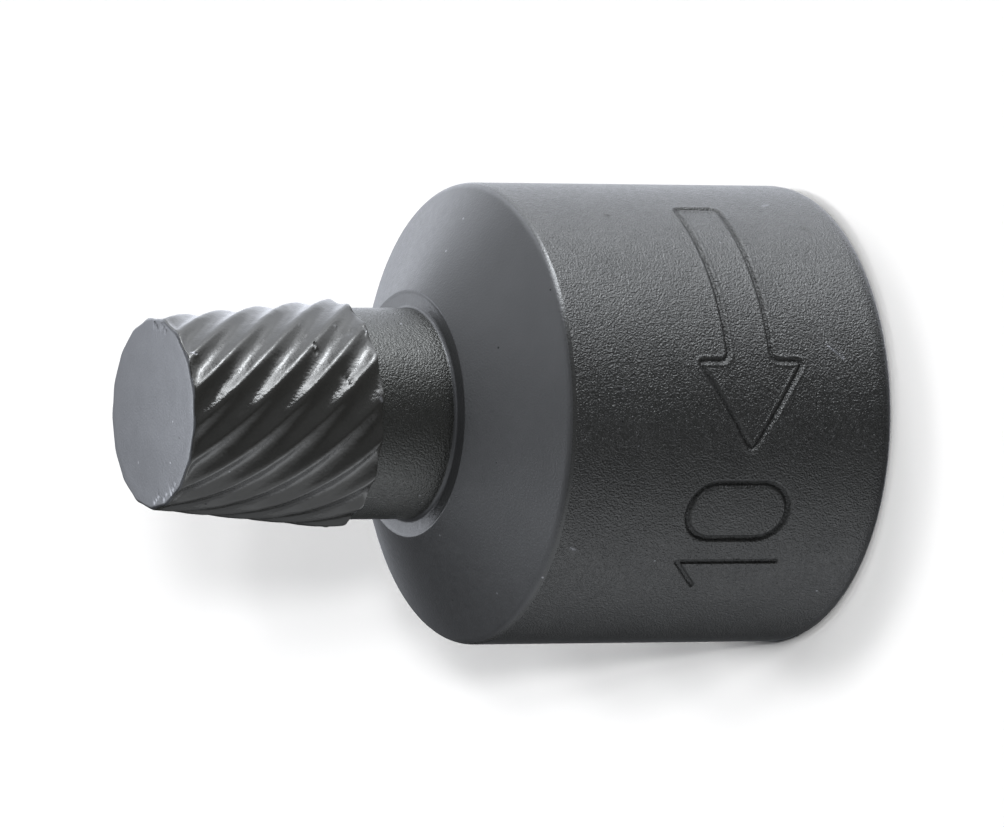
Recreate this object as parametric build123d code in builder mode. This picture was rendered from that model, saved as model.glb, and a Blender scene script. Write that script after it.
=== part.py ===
from build123d import *
from math import ceil, cos, pi, radians, sin, tan
import os

# Screw extractor bit in millimetres.
# The drive end lies on z = 0 and the fluted tip points along +Z; the axis of the part is the Z axis.

# Body: a short cylinder with a conical shoulder in front of it
body_diameter = 24.0
body_length = 19.1
rear_edge_radius = 1.25
front_edge_break = 0.15
shoulder_slope = 30.6

# Flutes: left-hand grooves of circular section, cut into a tapered stub
flute_count = 17
flute_lead = 36.3
flute_length = 10.3
flute_depth = 0.22
flute_start_angle = 3.7
crest_diameter = 11.88
crest_taper = 5.55
crest_land = 0.1
tip_chamfer = 0.12
groove_overrun = 0.5
sections_per_pitch = 3

# Neck: the plain round stretch under the flutes, with a shallow ring recess around its foot
neck_relief = 0.47
neck_length = 4.4
neck_flare = 0.18
recess_width = 0.91
recess_depth = 0.1

# Square drive socket, open at z = 0, with a pilot hole beyond it and a ring groove for the detent ball
drive_square = 12.85
drive_corner_radius = 0.6
drive_depth = 15.5
mouth_flare = 4.55
mouth_slope = 30.0
detent_sink = 1.45
detent_width = 3.2
detent_height = 7.9
pilot_step = 0.45
pilot_run = 1.1

# Radii and heights that follow from the sizes above
body_radius = body_diameter / 2
neck_radius = crest_diameter / 2 - neck_relief
recess_radius = neck_radius + recess_width
mouth_radius = (drive_square + mouth_flare) / 2
detent_radius = (drive_square + detent_sink) / 2
pilot_radius = (drive_square - pilot_step) / 2
pilot_depth = drive_depth + pilot_run
shoulder_top = body_length + (body_radius - recess_radius) * tan(radians(shoulder_slope))
recess_floor = shoulder_top - recess_depth
flute_base = recess_floor + neck_length
tip_height = flute_base + flute_length


def crest_radius(height):
    """Radius of the tapered stub at a height."""
    return crest_diameter / 2 - (height - flute_base) * tan(radians(crest_taper))


def cusp_radius(height):
    """Radius where two groove arcs would meet, just outside the stub, so that they leave the land between them."""
    crest_spacing = 2 * pi * crest_radius(height) / flute_count
    return crest_radius(height) + 2 * flute_depth * crest_land / crest_spacing


def crest_angle(height):
    """Turn of the first crest at a height, in degrees; a left-hand flute turns back as it rises."""
    return flute_start_angle - 360 * (height - flute_base) / flute_lead


def polar_point(radius, angle):
    """Point of a section at a radius and an angle in degrees."""
    return (radius * cos(radians(angle)), radius * sin(radians(angle)))


# The turned blank: body, conical shoulder with its ring recess, and neck
with BuildPart() as blank:
    with BuildSketch(Plane.XZ) as blank_profile:
        with BuildLine():
            Polyline(
                (0, 0),
                (body_radius, 0),
                (body_radius, body_length),
                (recess_radius, shoulder_top),
                (recess_radius, recess_floor),
                (neck_radius, recess_floor),
                (neck_radius, flute_base),
                (0, flute_base),
                close=True,
            )
        make_face()
        rear_edge = blank_profile.vertices().group_by(Axis.Y)[0].sort_by(Axis.X)[-1]
        fillet(rear_edge, radius=rear_edge_radius)
        front_edge = blank_profile.vertices().group_by(Axis.X)[-1].sort_by(Axis.Y)[-1]
        chamfer(front_edge, length=front_edge_break)
        floor_corners = blank_profile.vertices().filter_by_position(Axis.Y, recess_floor, recess_floor)
        chamfer(floor_corners.sort_by(Axis.X)[0], length=neck_flare)
    revolve(axis=Axis.Z)

# The fluted stub: a cone with a chamfered tip, kept only inside a scalloped section that turns as it rises
with BuildPart() as fluted_stub:
    with BuildSketch(Plane.XZ):
        with BuildLine():
            Polyline(
                (0, flute_base),
                (crest_radius(flute_base), flute_base),
                (crest_radius(tip_height - tip_chamfer), tip_height - tip_chamfer),
                (crest_radius(tip_height) - tip_chamfer, tip_height),
                (0, tip_height),
                close=True,
            )
        make_face()
    revolve(axis=Axis.Z)
    groove_bottom = flute_base - groove_overrun
    groove_rise = flute_length + 2 * groove_overrun
    section_gaps = ceil(groove_rise / flute_lead * flute_count * sections_per_pitch)
    for step in range(section_gaps + 1):
        height = groove_bottom + groove_rise * step / section_gaps
        with BuildSketch(Plane.XY.offset(height)):
            with BuildLine():
                for flute in range(flute_count):
                    start = crest_angle(height) + 360 * flute / flute_count
                    middle = start + 180 / flute_count
                    end = start + 360 / flute_count
                    ThreePointArc(
                        polar_point(cusp_radius(height), start),
                        polar_point(crest_radius(height) - flute_depth, middle),
                        polar_point(cusp_radius(height), end),
                    )
            make_face()
    loft(mode=Mode.INTERSECT)

# The whole bit in one piece, with the square drive socket sunk into its rear face
with BuildPart() as screw_extractor:
    add(blank.part)
    add(fluted_stub.part)
    with BuildSketch():
        RectangleRounded(drive_square, drive_square, radius=drive_corner_radius)
    extrude(amount=drive_depth, mode=Mode.SUBTRACT)
    with BuildSketch(Plane.XZ):
        Rectangle(pilot_radius, pilot_depth, align=Align.MIN)
        with BuildLine():
            Polyline(
                (0, 0),
                (mouth_radius, 0),
                (0, mouth_radius * tan(radians(mouth_slope))),
                close=True,
            )
        make_face()
        with Locations((0, detent_height)):
            Rectangle(detent_radius, detent_width, align=(Align.MIN, Align.CENTER))
    revolve(axis=Axis.Z, mode=Mode.SUBTRACT)

screw_extractor.part.label = "screw_extractor"
os.makedirs("parts", exist_ok=True)
export_step(screw_extractor.part, "parts/screw_extractor.step")
print("volume", round(screw_extractor.part.volume, 1), "height", round(tip_height, 3))
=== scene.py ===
import bmesh
import bpy
import math
import numpy as np
from mathutils import Matrix, Vector, geometry, noise


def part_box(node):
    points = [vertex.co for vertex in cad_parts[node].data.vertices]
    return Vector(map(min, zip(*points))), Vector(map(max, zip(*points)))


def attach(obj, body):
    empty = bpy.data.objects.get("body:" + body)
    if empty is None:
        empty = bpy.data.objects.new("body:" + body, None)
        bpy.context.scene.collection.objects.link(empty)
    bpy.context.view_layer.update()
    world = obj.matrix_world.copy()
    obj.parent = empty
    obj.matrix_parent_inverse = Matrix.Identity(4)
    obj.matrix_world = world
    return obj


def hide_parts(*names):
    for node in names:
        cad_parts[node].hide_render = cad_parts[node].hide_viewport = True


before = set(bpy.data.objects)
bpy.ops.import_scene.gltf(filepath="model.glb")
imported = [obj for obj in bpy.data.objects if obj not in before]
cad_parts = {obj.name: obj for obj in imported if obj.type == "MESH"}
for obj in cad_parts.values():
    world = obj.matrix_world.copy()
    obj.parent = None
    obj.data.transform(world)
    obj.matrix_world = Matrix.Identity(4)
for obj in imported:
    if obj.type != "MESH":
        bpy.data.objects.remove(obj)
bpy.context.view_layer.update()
cadNode = "screw_extractor"
mm = 0.001
print("frame loaded")

# the bit, in millimetres; its outside radius and its length come from the frame
lowCorner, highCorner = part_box(cadNode)
tipOver = 0.05                  # in the photograph the tip stands a hair higher than in the frame
bit = {
    "bodyRadius": round((highCorner.x - lowCorner.x) / 2 / mm, 2),
    "tipHeight": round(highCorner.z / mm + tipOver, 2),
    "bodyLength": 19.1,
    "rearRound": 1.25,
    "creaseRound": 0.6,
    "shoulderSlope": 30.6,      # degrees off square
    "recessRadius": 6.38,
    "recessDepth": 0.035,       # shallower than in the source, as its edge casts no line in the photograph
    "recessSlant": 0.1,         # how far its wall leans
    "recessLip": [(0, 0.01), (0.03, 0.02)],     # its broken edge: outwards, and down from the cone's top
    "coneStart": 0.09,          # from the recess to the cone's first row
    "coneStop": 0.05,           # from its last row to the rounded edge
    "coneRows": 10,
    "neckRadius": 5.47,
    "neckFillet": 0.22,
    "neckStop": 0.02,           # from the neck's last row to the fillet
    "neckRows": 8,
    "bodyRows": 60,
    "roundSteps": 6,            # rows round a small radius
    "edgeGap": 0.1,             # from an edge to the row that keeps it crisp
    "sharpAngle": 35,           # degrees, past which an edge isn't smoothed
    "mergeDistance": 0.0005,
    "shortestEdge": 0.0002,
    "outsideMargin": 0.005,     # how far a point of the body's outside may lie from its radius
}

flutes = {
    "count": 17,
    "lead": 36.3,               # one left-hand turn
    "startAngle": 3.7,          # degrees from +X, at the neck end
    "length": 10.35,
    "depth": 0.22,
    "crestRadius": 5.94,        # at the neck end
    "crestTaper": 5.55,         # degrees a side
    "crestSoftness": 1.1,       # how round the crests are
    "landShare": 0.03,          # of the pitch
    "grooveColumns": 17,
    "rows": 58,
    "tipDome": 0.12,            # how far the tip's face bulges
    "domeRadius": 4.4,
    "faceRadii": (0, 0.8, 1.6, 2.4, 3.2, 3.8, 4.2),
    "tipRound": 0.2,
    "tipRows": 6,
    "tipShare": 0.25,           # of the depth is left at the tip's face
    "tipRun": 0.45,             # over which the grooves get their full depth
    "shoulderRound": 0.11,
    "shoulderShare": 0.3,       # of that rounding, at its middle row
    "wear": 0.018,              # depth of the uneven wear along a crest
    "wearSize": 0.45,
}

# dents on the crests: angle from -Y towards +X in degrees, then height, width and depth
crestNicks = [
    (47.0, 27.7, 0.16, 0.10), (44.8, 27.1, 0.14, 0.08), (48.7, 26.9, 0.18, 0.10),
    (20.9, 28.8, 0.13, 0.07), (18.5, 28.6, 0.13, 0.07), (16.1, 28.5, 0.13, 0.07),
    (35.2, 30.0, 0.15, 0.07), (45.2, 30.2, 0.15, 0.09), (33.4, 32.0, 0.12, 0.05),
]
nickReach = 3                   # widths from a dent's middle to where it has run out

driveSocket = {
    "square": 12.85,
    "cornerRadius": 0.6,
    "depth": 15.5,
    "mouthRadius": 8.7,
    "mouthSlope": 30.0,         # degrees off the rear face
    "mouthBreak": (0.06, 0.04), # its broken edge: how wide and how deep
    "mouthLeast": 0.08,         # its depth at the corners of the square, which reach past it
    "detentRadius": 7.15,
    "detentWidth": 3.2,
    "detentHeight": 7.9,
    "pilotRadius": 6.2,
    "pilotDepth": 16.6,
}

coneFall = math.tan(math.radians(bit["shoulderSlope"]))
shoulderTop = bit["bodyLength"] + (bit["bodyRadius"] - bit["recessRadius"]) * coneFall
recessFloor = shoulderTop - bit["recessDepth"]
fluteBase = bit["tipHeight"] - flutes["length"]


def steps(start, end, count):
    return [start + (end - start) * step / count for step in range(count + 1)]


def columnShares():
    # places of the grid's columns, in flute pitches: two on each land, the rest across its groove
    shares = []
    for flute in range(flutes["count"]):
        edge = flutes["landShare"] / 2
        shares.append(flute - edge)
        for step in range(flutes["grooveColumns"]):
            shares.append(flute + edge + (1 - 2 * edge) * step / flutes["grooveColumns"])
    return shares


shares = columnShares()
pitchAngle = 360 / flutes["count"]


def crestTurn(height):
    return flutes["startAngle"] - 360 * (height - fluteBase) / flutes["lead"]


def place(radius, height, angle):
    turn = math.radians(angle)
    return Vector((math.cos(turn), math.sin(turn), 0)) * radius + Vector((0, 0, height))


def plainRing(radius, height, turn=None):
    first = crestTurn(fluteBase) if turn is None else turn
    return [place(radius, height, first + share * pitchAngle) for share in shares]


def grooveDepth(share):
    edge = flutes["landShare"] / 2
    across = (share - math.floor(share) - edge) / (1 - 2 * edge)
    if across <= 0 or across >= 1:
        return 0
    bowl, soft = 4 * across * (1 - across), flutes["crestSoftness"]
    return flutes["depth"] * (1 + soft) * bowl * bowl / (bowl + soft)


def nickDepth(angle, height, radius):
    total = 0
    for nickAngle, nickHeight, width, depth in crestNicks:
        turn = (angle + 90 - nickAngle + 180) % 360 - 180
        along = math.hypot(math.radians(turn) * radius, height - nickHeight)
        if along < nickReach * width:
            total += depth * math.exp(-(along / width) ** 2)
    return total


def easeIn(value):
    value = min(max(value, 0), 1)
    return value * value * (3 - 2 * value)


def fluteRing(height, inset=0):
    crest = flutes["crestRadius"] - (height - fluteBase) * math.tan(math.radians(flutes["crestTaper"]))
    shallow = flutes["tipShare"]
    deep = shallow + (1 - shallow) * easeIn((bit["tipHeight"] - height) / flutes["tipRun"])
    ring = []
    for share in shares:
        angle = crestTurn(height) + share * pitchAngle
        radius = crest - deep * grooveDepth(share)
        spot = place(radius, height, angle)
        worn = flutes["wear"] * noise.noise(spot / flutes["wearSize"])
        radius += worn - nickDepth(angle, height, radius) - inset
        ring.append(place(radius, height, angle))
    return ring


def squareReach(angle):
    # distance from the axis to the wall of the square with rounded corners
    half, corner = driveSocket["square"] / 2, driveSocket["cornerRadius"]
    turn = math.radians((angle + 45) % 90 - 45)
    flat = half / math.cos(turn)
    if flat * abs(math.sin(turn)) <= half - corner:
        return flat
    middle, aside = math.hypot(half - corner, half - corner), math.radians(45) - abs(turn)
    return middle * math.cos(aside) + math.sqrt(corner ** 2 - (middle * math.sin(aside)) ** 2)


def socketRing(reach, height):
    ring = []
    for share in shares:
        angle = crestTurn(fluteBase) + share * pitchAngle
        square = squareReach(angle)
        ring.append(place(reach(square), height(square), angle))
    return ring


def roundRings(middleRadius, middleHeight, radius, start, end):
    # rings along an arc in the plane of the axis; 0 degrees points outwards and 90 up
    rings = []
    for angle in steps(start, end, bit["roundSteps"]):
        turn = math.radians(angle)
        outwards, up = radius * math.cos(turn), radius * math.sin(turn)
        rings.append(plainRing(middleRadius + outwards, middleHeight + up))
    return rings


def tipRings():
    top, edge = bit["tipHeight"], flutes["tipRound"]
    rings = []
    for radius in flutes["faceRadii"]:
        bulge = flutes["tipDome"] * (1 - (radius / flutes["domeRadius"]) ** 2)
        rings.append(plainRing(radius, top + bulge, crestTurn(top)))
    for angle in steps(90, 90 / flutes["tipRows"], flutes["tipRows"] - 1):
        turn = math.radians(angle)
        rings.append(fluteRing(top - edge * (1 - math.sin(turn)), edge * (1 - math.cos(turn))))
    return rings


def fluteRings():
    fold, top = flutes["shoulderRound"], bit["tipHeight"] - flutes["tipRound"]
    part = fold * flutes["shoulderShare"]
    rings = [fluteRing(height) for height in steps(top, fluteBase + fold, flutes["rows"])]
    rings.append(fluteRing(fluteBase + part, part))
    rings.append(fluteRing(fluteBase, fold))
    rings.append(plainRing(bit["neckRadius"] + part, fluteBase))
    return rings


def neckRings():
    fillet, recess, slant = bit["neckFillet"], bit["recessRadius"], bit["recessSlant"]
    top = fluteBase - flutes["shoulderRound"] * flutes["shoulderShare"]
    foot = recessFloor + fillet + bit["neckStop"]
    rings = [plainRing(bit["neckRadius"], height) for height in steps(top, foot, bit["neckRows"])]
    rings += roundRings(bit["neckRadius"] + fillet, recessFloor + fillet, fillet, 180, 270)
    rings.append(plainRing(recess - slant - bit["edgeGap"], recessFloor))
    rings.append(plainRing(recess - slant, recessFloor))
    for outwards, down in bit["recessLip"]:
        rings.append(plainRing(recess + outwards, shoulderTop - down))
    return rings


def shoulderRings():
    slope, crease, radius = bit["shoulderSlope"], bit["creaseRound"], bit["bodyRadius"]
    # the rounding meets the cone and the cylinder at the same distance from their corner
    reach = crease * math.tan(math.radians((90 - slope) / 2))
    coneEnd = radius - reach * math.cos(math.radians(slope))
    rings = []
    for across in steps(bit["recessRadius"] + bit["coneStart"], coneEnd - bit["coneStop"], bit["coneRows"]):
        rings.append(plainRing(across, shoulderTop - (across - bit["recessRadius"]) * coneFall))
    rings += roundRings(radius - crease, bit["bodyLength"] - reach, crease, 90 - slope, 0)
    return rings


def bodyRings():
    rear, radius = bit["rearRound"], bit["bodyRadius"]
    top = bit["bodyLength"] - bit["creaseRound"]
    rings = [plainRing(radius, height) for height in steps(top, rear + bit["edgeGap"], bit["bodyRows"])]
    rings += roundRings(radius - rear, rear, rear, 0, -90)
    return rings


def socketRings():
    mouth, slope = driveSocket["mouthRadius"], math.tan(math.radians(driveSocket["mouthSlope"]))
    breakOut, breakDeep = driveSocket["mouthBreak"]
    low = driveSocket["detentHeight"] - driveSocket["detentWidth"] / 2
    high = driveSocket["detentHeight"] + driveSocket["detentWidth"] / 2

    def wall(square):
        return square

    def groove(square):
        return max(square, driveSocket["detentRadius"])

    return [
        socketRing(lambda square: max(square, mouth) + breakOut, lambda square: 0),
        socketRing(lambda square: max(square, mouth), lambda square: breakDeep),
        socketRing(wall, lambda square: max(driveSocket["mouthLeast"], (mouth - square) * slope)),
        socketRing(wall, lambda square: low),
        socketRing(groove, lambda square: low),
        socketRing(groove, lambda square: high),
        socketRing(wall, lambda square: high),
        socketRing(wall, lambda square: driveSocket["depth"]),
        plainRing(driveSocket["pilotRadius"], driveSocket["depth"]),
        plainRing(driveSocket["pilotRadius"], driveSocket["pilotDepth"]),
        plainRing(0, driveSocket["pilotDepth"]),
    ]


# marks stamped into the body: places are angles from -Y towards +X in degrees, and heights
engraving = {
    "cuts": 5,
    "margin": 0.26,             # width of the finer faces beside a stroke
    "lip": 0.035,               # height of the metal pushed up beside it
    "lipPlace": 0.09,           # from the stroke's edge
    "lipWidth": 0.075,
    "curveSteps": 12,
    "cornerSteps": 5,
    "shortestRun": 1e-6,        # a stroke's runs count as this long at least, so none divides by zero
    # "half" is half of a stroke's width, and "wall" the share of that half which slopes
    "zero": {"angle": -25.0, "height": 8.88, "width": 3.12, "length": 5.8,
             "half": 0.24, "depth": 0.14, "wall": 0.85},
    "one": {"angle": -39.6, "top": 11.5, "foot": 5.8, "flagAngle": -47.6, "flagTop": 11.6, "flagFoot": 10.1,
            "half": 0.17, "depth": 0.11, "wall": 0.6},
    "arrow": {"tip": -9.5, "shoulder": 13.0, "tail": 62.0, "height": 8.6, "shaft": 1.25, "head": 3.1,
              "round": 0.5, "half": 0.15, "depth": 0.085, "wall": 0.8},
}


def arcLength(angle):
    return math.radians(angle) * bit["bodyRadius"]


def arcPoints(across, up, radius, start, end):
    turns = [math.radians(angle) for angle in steps(start, end, engraving["curveSteps"])]
    return [(across + radius * math.cos(turn), up + radius * math.sin(turn)) for turn in turns]


def roundedOutline(corners, radius):
    # a closed line with its corners cut to short curves
    points = []
    for before, corner, after in zip(corners[-1:] + corners[:-1], corners, corners[1:] + corners[:1]):
        corner = Vector(corner)
        inward, outward = (Vector(before) - corner).normalized(), (Vector(after) - corner).normalized()
        for share in steps(0, 1, engraving["cornerSteps"]):
            points.append(tuple(corner + inward * radius * (1 - share) ** 2 + outward * radius * share ** 2))
    return points + points[:1]


def zeroStroke():
    zero = engraving["zero"]
    radius, reach = zero["width"] / 2, (zero["length"] - zero["width"]) / 2
    middle = arcLength(zero["angle"])
    path = arcPoints(middle, zero["height"] + reach, radius, 0, 180)
    path += arcPoints(middle, zero["height"] - reach, radius, 180, 360)
    return {**zero, "path": path + path[:1]}


def oneStrokes():
    one = engraving["one"]
    stem, flag = arcLength(one["angle"]), arcLength(one["flagAngle"])
    paths = [(stem, one["foot"]), (stem, one["top"])], [(stem, one["flagTop"]), (flag, one["flagFoot"])]
    return [{**one, "path": path} for path in paths]


def arrowStroke():
    arrow = engraving["arrow"]
    tip, shoulder, tail = (arcLength(arrow[name]) for name in ("tip", "shoulder", "tail"))
    middle = arrow["height"]
    corners = [
        (tip, middle), (shoulder, middle + arrow["head"]), (shoulder, middle + arrow["shaft"]),
        (tail, middle + arrow["shaft"]), (tail, middle - arrow["shaft"]),
        (shoulder, middle - arrow["shaft"]), (shoulder, middle - arrow["head"]),
    ]
    return {**arrow, "path": roundedOutline(corners, arrow["round"])}


def strokeDistance(points, path):
    # shortest distance from each point to a line of straight runs
    ends = np.array(path)
    start, along = ends[:-1], ends[1:] - ends[:-1]
    squared = np.maximum((along ** 2).sum(1), engraving["shortestRun"] ** 2)
    offset = points[:, None, :] - start[None]
    share = np.clip((offset * along[None]).sum(2) / squared, 0, 1)
    return np.sqrt(((offset - share[..., None] * along[None]) ** 2).sum(2)).min(1)


def unrolled(spots):
    # points on the body laid flat: length round it from -Y, and height
    return np.array([(math.atan2(spot.x, -spot.y) * bit["bodyRadius"], spot.z) for spot in spots])


def onBody(spot):
    return abs(math.hypot(spot.x, spot.y) - bit["bodyRadius"]) < bit["outsideMargin"]


def engrave(bm, strokes):
    faces = [face for face in bm.faces if all(onBody(vert.co) for vert in face.verts)]
    centres = unrolled([face.calc_center_median() for face in faces])
    near = np.zeros(len(faces), bool)
    for stroke in strokes:
        near |= strokeDistance(centres, stroke["path"]) < stroke["half"] + engraving["margin"]
    edges = {edge for face, chosen in zip(faces, near) if chosen for edge in face.edges}
    bmesh.ops.subdivide_edges(bm, edges=list(edges), cuts=engraving["cuts"], use_grid_fill=True)
    verts = [vert for vert in bm.verts if onBody(vert.co)]
    places = unrolled([vert.co for vert in verts])
    depth = np.zeros(len(verts))
    for stroke in strokes:
        away = strokeDistance(places, stroke["path"]) / stroke["half"]
        wall = np.clip((1 - away) / stroke["wall"], 0, 1)
        depth = np.maximum(depth, stroke["depth"] * wall * wall * (3 - 2 * wall))
        beside = away * stroke["half"] - stroke["half"] - engraving["lipPlace"]
        lip = engraving["lip"] * np.exp(-(beside / engraving["lipWidth"]) ** 2)
        depth = np.where(depth > 0, depth, -np.maximum(lip, -depth))
    deepest = max(stroke["depth"] for stroke in strokes)
    # painted shade: each stroke's colour is darkened towards its bottom, the deeper the darker
    shadeLayer = bm.verts.layers.float["sunk"]
    for vert, sunk in zip(verts, depth):
        reach = (bit["bodyRadius"] - sunk) / math.hypot(vert.co.x, vert.co.y)
        vert.co.x *= reach
        vert.co.y *= reach
        vert[shadeLayer] = strokeShade["share"] * min(max(sunk / deepest, 0), 1)


# handling marks: points as angle from -Y towards +X, height and radius, then half width, depth
# and share of bare metal, which is worn steel and, where a mark glints, also a painted highlight
handlingMarks = [
    # scratches and dots on the body and the cone
    ([(17.3, 4.0, 12.0), (16.2, 3.75, 12.0), (15.6, 3.55, 12.0)], 0.05, 0.03, 0.5),
    ([(15.3, 3.5, 12.0), (14.4, 3.25, 12.0), (13.8, 3.1, 12.0)], 0.05, 0.03, 0.6),
    ([(58.8, 14.15, 12.0), (58.3, 14.0, 12.0)], 0.1, 0.05, 0),
    ([(53.8, 3.05, 12.0), (52.6, 2.8, 12.0)], 0.09, 0.05, 0),
    ([(64.4, 4.3, 12.0), (65.2, 3.9, 12.0)], 0.06, 0.03, 0.5),
    ([(-21.5, 19.75, 11.2), (-22.2, 19.5, 11.6)], 0.05, 0.03, 0.5),
    ([(-20.9, 19.9, 10.9), (-21.0, 19.6, 11.4)], 0.04, 0.025, 0.5),
    ([(-35.0, 18.1, 12.0), (-35.6, 17.8, 12.0)], 0.05, 0.03, 0.5),
    # nicks across the flutes
    ([(40.4, 29.96, 5.62), (34.0, 30.0, 5.6), (28.4, 30.08, 5.6)], 0.08, 0.09, 0),
    ([(21.5, 30.58, 5.57), (20.0, 30.6, 5.57)], 0.08, 0.07, 0),
    ([(17.9, 28.79, 5.74), (16.5, 28.5, 5.76)], 0.09, 0.1, 0),
    ([(48.2, 26.85, 5.92), (43.0, 26.9, 5.9), (38.7, 26.9, 5.9)], 0.07, 0.07, 0.3),
    ([(51.5, 28.35, 5.78), (49.5, 28.2, 5.78)], 0.1, 0.08, 0.25),
    ([(55.2, 30.2, 5.6), (51.0, 30.25, 5.6), (45.7, 30.28, 5.6)], 0.07, 0.06, 0.2),
    ([(39.0, 36.75, 4.97), (37.6, 36.48, 4.99)], 0.07, 0.04, 0.3),
    ([(7.7, 26.95, 5.9), (6.5, 26.9, 5.9)], 0.07, 0.03, 0.6),
    # folds at the rim of the tip's face, light ones low and dark ones high in the picture; the light ones get
    # bare metal as a painted highlight
    ([(-87.9, 37.06, 4.62), (-79.2, 37.07, 4.3)], 0.07, 0.03, 0.3),
    ([(-74.2, 37.05, 4.68), (-66.8, 37.06, 4.45)], 0.07, 0.03, 0.3),
    ([(-61.8, 37.05, 4.68), (-52.4, 37.06, 4.5)], 0.07, 0.03, 0.3),
    ([(87.3, 37.05, 4.68), (81.3, 37.07, 4.35)], 0.07, 0.06, 0),
    ([(76.7, 37.05, 4.7), (68.6, 37.06, 4.45)], 0.07, 0.06, 0),
]

# the section of a mark, in its half widths: a groove with a low ridge along each side
markSection = {
    "reach": 2,
    "grooveWidth": 0.6,
    "ridge": 0.25,              # share of the groove's depth
    "ridgePlace": 1.2,
    "ridgeWidth": 0.25,
    "fluteMargin": 0.06,        # in millimetres, of finer faces round a mark on the flutes
    "fluteCuts": 3,
}


def distanceToPath(spot, path):
    gaps = []
    for start, end in zip(path, path[1:]):
        foot, share = geometry.intersect_point_line(spot, start, end)
        nearest = [foot] if 0 <= share <= 1 else [start, end]
        gaps += [(spot - point).length for point in nearest]
    return min(gaps)


def markDepth(away):
    groove = math.exp(-(away / markSection["grooveWidth"]) ** 2)
    ridge = math.exp(-((away - markSection["ridgePlace"]) / markSection["ridgeWidth"]) ** 2)
    return groove - markSection["ridge"] * ridge


def scratch(bm, points, half, depth, bareAndGlint):
    path = [place(radius, height, angle - 90) for angle, height, radius in points]
    if points[0][2] < bit["recessRadius"]:
        reach, cuts = half * markSection["reach"] + markSection["fluteMargin"], markSection["fluteCuts"]
    else:
        reach, cuts = half + engraving["margin"], engraving["cuts"]
    near = [face for face in bm.faces if distanceToPath(face.calc_center_median(), path) < reach]
    edges = {edge for face in near for edge in face.edges}
    bmesh.ops.subdivide_edges(bm, edges=list(edges), cuts=cuts, use_grid_fill=True)
    bm.normal_update()
    worn = bm.verts.layers.float["worn"]
    for vert in bm.verts:
        away = distanceToPath(vert.co, path) / half
        if away < markSection["reach"]:
            vert.co -= vert.normal * depth * markDepth(away)
            # the bare share: worn steel, and a painted highlight where the mark glints
            vert[worn] = max(vert[worn], bareAndGlint * math.exp(-away ** 2))


def wrapSkin(rings):
    # a flat grid from -0.5 to 0.5 is wrapped round the axis, ring by ring, and its seam and poles are closed
    bm = bmesh.new()
    bm.verts.layers.float.new("worn")
    bm.verts.layers.float.new("sunk")
    bmesh.ops.create_grid(bm, x_segments=len(shares), y_segments=len(rings) - 1, size=0.5)
    for vert in bm.verts:
        column = round((vert.co.x + 0.5) * len(shares)) % len(shares)
        row = round((vert.co.y + 0.5) * (len(rings) - 1))
        vert.co = rings[row][column]
    bmesh.ops.remove_doubles(bm, verts=bm.verts[:], dist=bit["mergeDistance"])
    bmesh.ops.dissolve_degenerate(bm, edges=bm.edges[:], dist=bit["shortestEdge"])
    bmesh.ops.recalc_face_normals(bm, faces=bm.faces[:])
    return bm


# where one finish gives way to the next
finishLimits = {
    "facing": 0.55,             # how much of a face's normal points up on the tip's face and on the cone
    "overNeck": 0.01,
    "underBody": 0.015,
    "coneRadius": 11,           # within it, the shoulder has the cone's finish whichever way it faces
}


def finishOf(face):
    # the name of one of the finishes further down
    spot = face.calc_center_median()
    outwards = math.hypot(spot.x, spot.y)
    upwards = face.normal.z > finishLimits["facing"]
    if spot.z > bit["tipHeight"] - flutes["tipRound"] and upwards:
        return "tipSteel"
    if spot.z > fluteBase:
        return "flutedSteel"
    if spot.z > recessFloor and outwards < bit["neckRadius"] + finishLimits["overNeck"]:
        return "neckSteel"
    onShoulder = bit["neckRadius"] < outwards < bit["bodyRadius"] - finishLimits["underBody"]
    if spot.z > bit["bodyLength"] - bit["creaseRound"] and onShoulder:
        return "turnedSteel" if upwards or outwards < finishLimits["coneRadius"] else "edgeSteel"
    return "bodySteel"


def makeBit(materials):
    rings = tipRings() + fluteRings() + neckRings() + shoulderRings() + bodyRings() + socketRings()
    bm = wrapSkin(rings)
    engrave(bm, [zeroStroke(), *oneStrokes(), arrowStroke()])
    for mark in handlingMarks:
        scratch(bm, *mark)
    bm.normal_update()
    order = list(materials)
    for face in bm.faces:
        face.smooth = True
        face.material_index = order.index(finishOf(face))
    for edge in bm.edges:
        if len(edge.link_faces) == 2 and edge.calc_face_angle() > math.radians(bit["sharpAngle"]):
            edge.smooth = False
    bmesh.ops.scale(bm, vec=(mm, mm, mm), verts=bm.verts[:])
    mesh = bpy.data.meshes.new("extractor_bit")
    bm.to_mesh(mesh)
    bm.free()
    for material in materials.values():
        mesh.materials.append(material)
    piece = bpy.data.objects.new("extractor_bit", mesh)
    bpy.context.scene.collection.objects.link(piece)
    triangles = sum(len(polygon.vertices) - 2 for polygon in mesh.polygons)
    print("bit made of", triangles, "triangles")
    return piece


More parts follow.
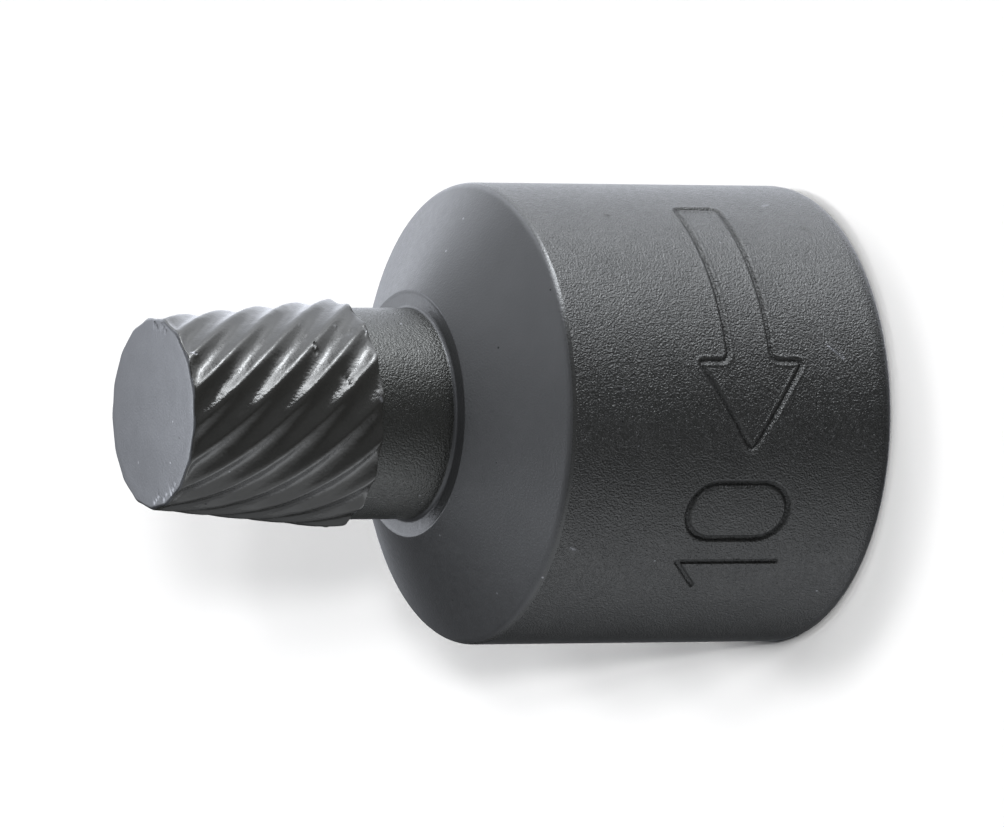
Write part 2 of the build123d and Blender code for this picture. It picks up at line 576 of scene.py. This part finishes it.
# the finish of each part of the bit: "grain", "grainDepth" and "mottle" are sizes in millimetres, and
# "specks" is the share of the cells that hold one
finishes = {
    # the body and the socket
    "bodySteel": {"colour": (0.066, 0.0655, 0.061), "metal": 0.84, "rough": 0.325, "roughSpread": 0.05,
                  "grain": 0.1, "grainDepth": 0.08, "mottle": 2.2, "mottleSpread": 0.06, "specks": 0.02},
    # the cone and the ring round the neck's foot
    "turnedSteel": {"colour": (0.072, 0.072, 0.070), "metal": 0.6, "rough": 0.38, "roughSpread": 0.03,
                    "grain": 0.12, "grainDepth": 0.014, "mottle": 2.6, "mottleSpread": 0.05, "specks": 0.035},
    "neckSteel": {"colour": (0.059, 0.059, 0.053), "metal": 0.7, "rough": 0.31, "roughSpread": 0.05,
                  "grain": 0.105, "grainDepth": 0.056, "mottle": 1.4, "mottleSpread": 0.06, "specks": 0.02},
    "flutedSteel": {"colour": (0.052, 0.051, 0.046), "metal": 0.6, "rough": 0.17, "roughSpread": 0.04,
                    "grain": 0.15, "grainDepth": 0.012, "mottle": 1.4, "mottleSpread": 0.06, "specks": 0.02},
    "tipSteel": {"colour": (0.070, 0.071, 0.072), "metal": 0.6, "rough": 0.34, "roughSpread": 0.03,
                 "grain": 0.12, "grainDepth": 0.010, "mottle": 1.6, "mottleSpread": 0.1, "specks": 0.02},
    # the rounded edge between the cone and the body
    "edgeSteel": {"colour": (0.064, 0.064, 0.060), "metal": 0.6, "rough": 0.27, "roughSpread": 0.03,
                  "grain": 0.12, "grainDepth": 0.016, "mottle": 2.6, "mottleSpread": 0.05, "specks": 0.03},
}
# what the finishes share
# bare steel where marks wore through the black finish, also used as a painted highlight where a mark glints
bareMetalAndGlint = (0.42, 0.42, 0.43)
# painted shade: the dark colour at the bottom of the stamped strokes
strokeShade = {"colour": (0.008, 0.008, 0.007), "share": 0.52}     # at the bottom of the deepest stroke
specks = {
    "spacing": 0.42,            # size of a cell
    "reach": 0.15,              # radius of a speck, in cells
    "dark": (0.014, 0.014, 0.013),
    "light": (0.20, 0.20, 0.20),
    "darkShare": 0.6,
}
clouds = {
    "low": 0.3,                 # the noise between these two values is spread over the whole range
    "high": 0.7,
    "mottleDetail": 3,
    "grainDetail": 2,
    "smearGrains": 3,           # size of a duller or glossier smear, in grains
}


def addNode(tree, kind, **settings):
    node = tree.nodes.new(kind)
    for name, value in settings.items():
        setattr(node, name, value)
    return node


def steel(name, look):
    material = bpy.data.materials.new(name)
    material.use_nodes = True
    tree = material.node_tree
    link = tree.links.new
    shader = tree.nodes["Principled BSDF"]
    shader.inputs["Metallic"].default_value = look["metal"]
    coordinates = addNode(tree, "ShaderNodeTexCoord")
    millimetres = addNode(tree, "ShaderNodeMapping")
    millimetres.inputs["Scale"].default_value = (1 / mm,) * 3
    link(coordinates.outputs["Object"], millimetres.inputs["Vector"])

    def cloud(size, detail):
        texture = addNode(tree, "ShaderNodeTexNoise")
        texture.inputs["Scale"].default_value = 1 / size
        texture.inputs["Detail"].default_value = detail
        link(millimetres.outputs["Vector"], texture.inputs["Vector"])
        return texture.outputs["Fac"]

    def spread(value, low, high):
        ranged = addNode(tree, "ShaderNodeMapRange")
        ranged.inputs["From Min"].default_value = clouds["low"]
        ranged.inputs["From Max"].default_value = clouds["high"]
        ranged.inputs["To Min"].default_value = low
        ranged.inputs["To Max"].default_value = high
        link(value, ranged.inputs["Value"])
        return ranged.outputs["Result"]

    def compare(value, operation, limit):
        node = addNode(tree, "ShaderNodeMath", operation=operation)
        node.inputs[1].default_value = limit
        link(value, node.inputs[0])
        return node.outputs["Value"]

    def mix(factor, base, over):
        # sockets 6, 7 and 2 of a Mix node are its two colours and the mixed one
        node = addNode(tree, "ShaderNodeMix", data_type="RGBA")
        link(factor, node.inputs["Factor"])
        for number, colour in ((6, base), (7, over)):
            if isinstance(colour, bpy.types.NodeSocket):
                link(colour, node.inputs[number])
            else:
                node.inputs[number].default_value = (*colour, 1)
        return node.outputs[2]

    def shaded(share):
        return [channel * (1 + share) for channel in look["colour"]]

    mottle = spread(cloud(look["mottle"], clouds["mottleDetail"]), 0, 1)
    tint = mix(mottle, shaded(-look["mottleSpread"]), shaded(look["mottleSpread"]))

    # a few small specks, some dark and some bright
    cells = addNode(tree, "ShaderNodeTexVoronoi")
    cells.inputs["Scale"].default_value = 1 / specks["spacing"]
    link(millimetres.outputs["Vector"], cells.inputs["Vector"])
    pick = addNode(tree, "ShaderNodeSeparateColor")
    link(cells.outputs["Color"], pick.inputs["Color"])
    speck = addNode(tree, "ShaderNodeMath", operation="MULTIPLY")
    link(compare(cells.outputs["Distance"], "LESS_THAN", specks["reach"]), speck.inputs[0])
    link(compare(pick.outputs["Red"], "LESS_THAN", look["specks"]), speck.inputs[1])
    bright = compare(pick.outputs["Green"], "GREATER_THAN", specks["darkShare"])
    dotted = mix(speck.outputs["Value"], tint, mix(bright, specks["dark"], specks["light"]))

    # scratches and nicks are bare metal, and where they glint that bare share is a painted highlight; the
    # stamped strokes are darker at their bottoms, a painted shade
    worn, sunk = (addNode(tree, "ShaderNodeAttribute", attribute_name=name) for name in ("worn", "sunk"))
    rubbedAndGlinting = mix(worn.outputs["Fac"], dotted, bareMetalAndGlint)
    link(mix(sunk.outputs["Fac"], rubbedAndGlinting, strokeShade["colour"]), shader.inputs["Base Color"])

    smears = cloud(look["grain"] * clouds["smearGrains"], clouds["grainDetail"])
    smooth, rough = look["rough"] - look["roughSpread"], look["rough"] + look["roughSpread"]
    link(spread(smears, smooth, rough), shader.inputs["Roughness"])
    bump = addNode(tree, "ShaderNodeBump")
    bump.inputs["Strength"].default_value = 1
    bump.inputs["Distance"].default_value = look["grainDepth"] * mm
    link(cloud(look["grain"], clouds["grainDetail"]), bump.inputs["Height"])
    link(bump.outputs["Normal"], shader.inputs["Normal"])
    return material


# soft light all round, as round panels: where each hangs, the angles in degrees at which it starts and is full,
# and its strength
studio = {
    "ambient": 0.02,
    "tint": (0.94, 0.98, 1.075),
    "shown": 1.0,               # how bright the surroundings look to the camera
    "panels": [
        # the lamp at the upper right, and its glow
        ((0.95, -0.30, -0.08), 8, 2, 17.0),
        ((0.85, -0.50, 0.14), 9, 2, 12.0),
        ((0.81, -0.40, 0.42), 13, 3, 5.4),
        ((0.93, -0.30, 0.20), 13, 3, 4.6),
        ((0.97, -0.22, -0.13), 13, 3, 4.8),
        ((0.85, -0.51, -0.10), 13, 3, 3.4),
        ((0.92, -0.33, -0.21), 13, 3, 4.0),
        ((0.98, -0.20, 0.05), 13, 3, 3.8),
        ((0.99, -0.02, -0.10), 13, 3, 3.2),
        ((0.87, -0.45, 0.18), 13, 3, 3.2),
        ((0.81, -0.49, -0.32), 13, 3, 2.4),
        ((0.87, -0.20, -0.46), 14, 3, 1.3),
        # panels behind and over the bit
        ((0.00, 0.62, 0.78), 22, 4, 5.3),
        ((0.90, 0.30, 0.30), 22, 4, 2.4),
        ((0.00, 0.80, 0.60), 22, 4, 1.6),
        ((0.00, 0.30, 0.95), 22, 4, 1.45),
        ((0.45, 0.88, 0.15), 22, 4, 1.4),
        ((0.45, -0.20, 0.87), 22, 4, 0.75),
        ((-0.60, -0.10, 0.79), 22, 4, 0.75),
        ((-0.30, 0.30, 0.90), 22, 4, 0.75),
        ((0.60, 0.10, 0.79), 22, 4, 0.5),
        ((0.50, 0.60, 0.62), 22, 4, 0.45),
        ((0.25, 0.85, 0.46), 22, 4, 0.4),
        ((0.49, 0.85, 0.18), 34, 6, 0.95),
        ((0.03, -0.40, 0.92), 34, 6, 0.5),
        ((0.66, 0.24, 0.72), 34, 6, 0.45),
        ((-0.67, 0.28, 0.68), 34, 6, 0.25),
        ((0.18, 0.00, 0.98), 34, 6, 0.25),
        # wide soft light from the right, from below and from the left
        ((0.78, -0.24, -0.58), 34, 6, 1.55),
        ((0.89, 0.47, 0.02), 34, 6, 1.45),
        ((0.32, 0.79, -0.52), 34, 6, 1.3),
        ((0.88, 0.24, -0.42), 34, 6, 1.05),
        ((0.60, 0.42, -0.68), 34, 6, 0.75),
        ((0.95, 0.10, -0.30), 22, 4, 0.6),
        ((0.17, 0.98, -0.08), 34, 6, 0.4),
        ((-0.94, -0.30, 0.15), 34, 6, 0.65),
        ((-0.69, 0.09, -0.72), 34, 6, 0.6),
        ((-0.75, -0.36, -0.55), 34, 6, 0.5),
        ((-0.97, 0.25, -0.02), 34, 6, 0.5),
        ((-0.79, -0.61, -0.12), 34, 6, 0.45),
        ((-0.91, 0.04, 0.42), 34, 6, 0.45),
        ((-0.61, -0.73, 0.32), 34, 6, 0.25),
        ((-0.89, -0.08, -0.46), 20, 4, 1.3),
        ((-0.80, -0.38, -0.46), 18, 4, 0.5),
        ((0.21, -0.95, 0.22), 34, 6, 0.1),
    ],
    "floorSize": 3.0,           # metres
    "floorWhite": 0.04,
    "floorRough": 0.9,
    "floorGloss": 0.0,
    # a row of lamps from the camera's side to over the tip: height over the floor in degrees, sideways lean,
    # softness in degrees and strength
    "floorLamps": [
        (26.6, 0.17, 2.5, 18.6), (28.0, 0.16, 2.5, 22.4), (31.4, 0.24, 2.5, 14.6), (33.3, 0.28, 5.0, 5.7),
        (43.9, 0.24, 5.0, 9.4), (49.6, 0.24, 5.0, 8.9), (68.2, 0.24, 6.0, 5.1), (76.0, 0.24, 8.0, 4.7),
        (92.9, 0.15, 9.0, 11.6), (101.3, 0.11, 8.0, 15.8),
    ],
}


def makeWorld():
    world = bpy.data.worlds.new("studio")
    bpy.context.scene.world = world
    world.use_nodes = True
    tree = world.node_tree
    link = tree.links.new
    shader, output = tree.nodes["Background"], tree.nodes["World Output"]
    direction = addNode(tree, "ShaderNodeTexCoord").outputs["Generated"]
    total = None
    for axis, outer, full, strength in studio["panels"]:
        facing = addNode(tree, "ShaderNodeVectorMath", operation="DOT_PRODUCT")
        facing.inputs[1].default_value = Vector(axis).normalized()
        link(direction, facing.inputs[0])
        soft = addNode(tree, "ShaderNodeMapRange", interpolation_type="SMOOTHSTEP")
        soft.inputs["From Min"].default_value = math.cos(math.radians(outer))
        soft.inputs["From Max"].default_value = math.cos(math.radians(full))
        soft.inputs["To Max"].default_value = strength
        link(facing.outputs["Value"], soft.inputs["Value"])
        added = addNode(tree, "ShaderNodeMath", operation="ADD")
        link(soft.outputs["Result"], added.inputs[0])
        if total:
            link(total, added.inputs[1])
        else:
            added.inputs[1].default_value = studio["ambient"]
        total = added.outputs["Value"]
    shader.inputs["Color"].default_value = (*studio["tint"], 1)
    link(total, shader.inputs["Strength"])
    surroundings = addNode(tree, "ShaderNodeBackground")
    surroundings.inputs["Color"].default_value = (1, 1, 1, 1)
    surroundings.inputs["Strength"].default_value = studio["shown"]
    chooser, path = addNode(tree, "ShaderNodeMixShader"), addNode(tree, "ShaderNodeLightPath")
    link(path.outputs["Is Camera Ray"], chooser.inputs["Fac"])
    link(shader.outputs["Background"], chooser.inputs[1])
    link(surroundings.outputs["Background"], chooser.inputs[2])
    link(chooser.outputs["Shader"], output.inputs["Surface"])


def makeFloor():
    bm = bmesh.new()
    bmesh.ops.create_grid(bm, x_segments=1, y_segments=1, size=studio["floorSize"])
    mesh = bpy.data.meshes.new("floor")
    bm.to_mesh(mesh)
    bm.free()
    floor = bpy.data.objects.new("floor", mesh)
    bpy.context.scene.collection.objects.link(floor)
    white = bpy.data.materials.new("floorWhite")
    white.use_nodes = True
    paint = white.node_tree.nodes["Principled BSDF"]
    paint.inputs["Base Color"].default_value = (studio["floorWhite"],) * 3 + (1,)
    paint.inputs["Roughness"].default_value = studio["floorRough"]
    paint.inputs["Specular IOR Level"].default_value = studio["floorGloss"]
    mesh.materials.append(white)
    # the panels light the bit from all round, so the floor neither shades it nor shows in it
    floor.visible_glossy = False
    floor.visible_shadow = False
    return floor


def makeFloorLamps(floor):
    # these lamps light the floor alone, for the soft shadows beside the bit
    lit = bpy.data.collections.new("litFloor")
    lit.objects.link(floor)
    for height, lean, angle, strength in studio["floorLamps"]:
        data = bpy.data.lights.new("floorLamp", "SUN")
        data.energy = strength
        data.angle = math.radians(angle)
        light = bpy.data.objects.new("floorLamp", data)
        bpy.context.scene.collection.objects.link(light)
        turn = math.radians(height)
        rise = math.sin(turn)
        start = Vector((lean * rise, -math.cos(turn), rise))
        light.rotation_euler = start.to_track_quat("Z", "Y").to_euler()
        light.light_linking.receiver_collection = lit


# the photograph's view, with the picture's up along +X; lengths in millimetres
photoView = {
    "target": (0, -1.35, 17.63),
    "distance": 541.0,
    "lookDown": 27.48,          # degrees
    "lens": 374.0,
    "sensor": 36.0,
    "nearest": 0.01,            # metres, as is the next
    "farthest": 20,
}


def makeCamera():
    data = bpy.data.cameras.new("photoCamera")
    camera = bpy.data.objects.new("photoCamera", data)
    bpy.context.scene.collection.objects.link(camera)
    slant = math.radians(photoView["lookDown"])
    ahead = Vector((0, math.cos(slant), -math.sin(slant)))
    up = Vector((1, 0, 0))
    turn = Matrix((ahead.cross(up), up, -ahead)).transposed().to_4x4()
    spot = (Vector(photoView["target"]) - ahead * photoView["distance"]) * mm
    camera.matrix_world = Matrix.Translation(spot) @ turn
    data.lens = photoView["lens"]
    data.sensor_width = photoView["sensor"]
    data.clip_start, data.clip_end = photoView["nearest"], photoView["farthest"]
    bpy.context.scene.camera = camera
    print("camera set")


makeWorld()
makeFloorLamps(makeFloor())
bpy.context.scene.view_settings.view_transform = "Standard"
print("studio lit")
makeCamera()
extractorBit = makeBit({name: steel(name, look) for name, look in finishes.items()})
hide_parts(cadNode)
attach(extractorBit, "root")
